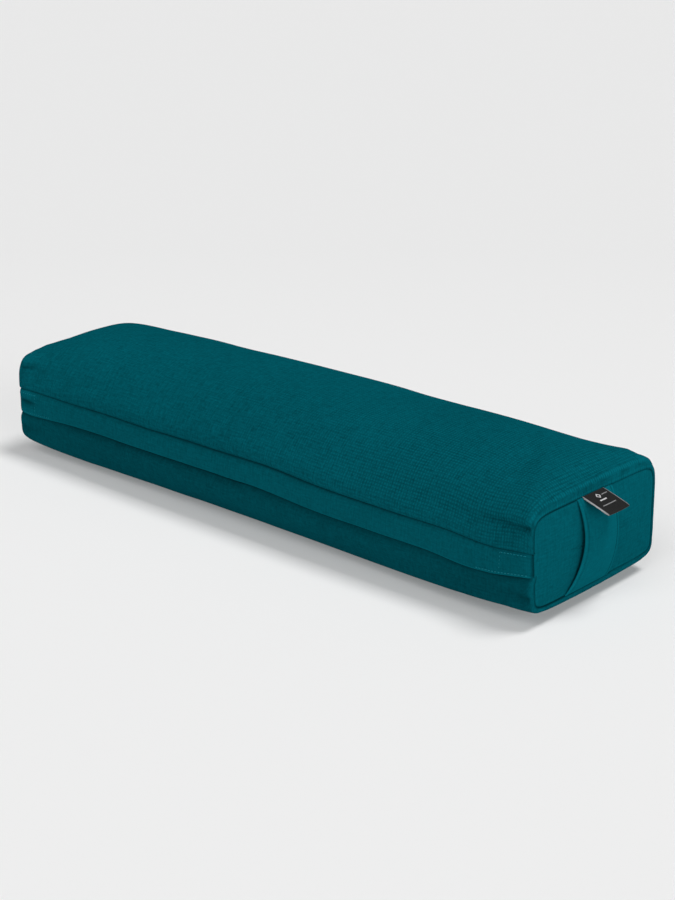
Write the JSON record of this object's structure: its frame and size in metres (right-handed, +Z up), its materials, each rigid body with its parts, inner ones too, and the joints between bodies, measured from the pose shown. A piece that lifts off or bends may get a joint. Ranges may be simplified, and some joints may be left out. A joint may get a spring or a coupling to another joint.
{
  "type": "bolster pillow",
  "caption": "Rectangular yoga bolster: zipped canvas cover with zip flap, end handle and folded label, around a zipped lining bag of hulls.",
  "frame": {"origin": "on the floor under the middle of the bolster", "axes": "+X along the bolster towards the end with the handle, -Y out of the side with the zip flap, +Z up"},
  "size_m": [0.6763, 0.1842, 0.1285],
  "materials": {
    "canvas": "matt plain-weave cotton canvas, deep teal",
    "strap": "matt cotton, deep teal",
    "label": "black woven damask",
    "zip_tape": "matt woven polyester",
    "zip_coil": "satin nylon",
    "zip_metal": "dark nickel plate",
    "lining": "matt unbleached cotton",
    "filling": "loose dark hulls"
  },
  "bodies": {
    "cover": {"cover_body": "canvas", "handle_end_panel": "canvas", "far_end_panel": "canvas", "zip_flap_near_end": "canvas", "zip_flap_far_end": "canvas", "cover_zip_tape_upper": "zip_tape", "cover_zip_tape_lower": "zip_tape", "cover_zip_coil_upper": "zip_coil", "cover_zip_coil_lower": "zip_coil", "cover_zip_stop_near": "zip_metal", "cover_zip_stop_far": "zip_metal", "lining_bag_body": "lining", "lining_near_end": "lining", "lining_far_end": "lining", "lining_zip_tape_upper": "zip_tape", "lining_zip_tape_lower": "zip_tape", "lining_zip_coil_upper": "zip_coil", "lining_zip_coil_lower": "zip_coil", "lining_zip_stop_near": "zip_metal", "lining_zip_stop_far": "zip_metal", "buckwheat_filling": "filling"},
    "flap": {"zip_flap": "canvas"},
    "handle": {"handle_strap": "strap"},
    "label": {"woven_label": "label"},
    "cover_slider": {"cover_zip_slider": "zip_metal"},
    "cover_pull": {"cover_zip_pull": "zip_metal"},
    "lining_slider": {"lining_zip_slider": "zip_metal"},
    "lining_pull": {"lining_zip_pull": "zip_metal"}
  },
  "joints": [
    {"name": "flap_lift", "type": "hinge", "parent": "cover", "child": "flap", "pos_m": [0, -0.0922, 0.0679], "axis": [-1, 0, 0], "range_deg": [0, 140]},
    {"name": "handle_bow", "type": "slide", "parent": "cover", "child": "handle", "axis": [1, 0, 0], "range_m": [0, 0.006], "stiffness_N_per_m": 60},
    {"name": "label_flip", "type": "hinge", "parent": "cover", "child": "label", "pos_m": [0.3262, -0.0094, 0.0989], "axis": [0, -1, 0], "range_deg": [-20, 90], "stiffness_Nm_per_rad": 0.002},
    {"name": "cover_zip_slide", "type": "slide", "parent": "cover", "child": "cover_slider", "axis": [-1, 0, 0], "range_m": [0, 0.541]},
    {"name": "cover_pull_swing", "type": "hinge", "parent": "cover_slider", "child": "cover_pull", "pos_m": [0.2687, -0.08684, 0.05652], "axis": [0, 0.0916, 0.9958], "range_deg": [0, 5]},
    {"name": "lining_zip_slide", "type": "slide", "parent": "cover", "child": "lining_slider", "axis": [1, 0, 0], "range_m": [0, 0.251]},
    {"name": "lining_pull_swing", "type": "hinge", "parent": "lining_slider", "child": "lining_pull", "pos_m": [-0.1237, 0.08704, 0.05654], "axis": [0, -0.0916, 0.9958], "range_deg": [0, 2]}
  ]
}
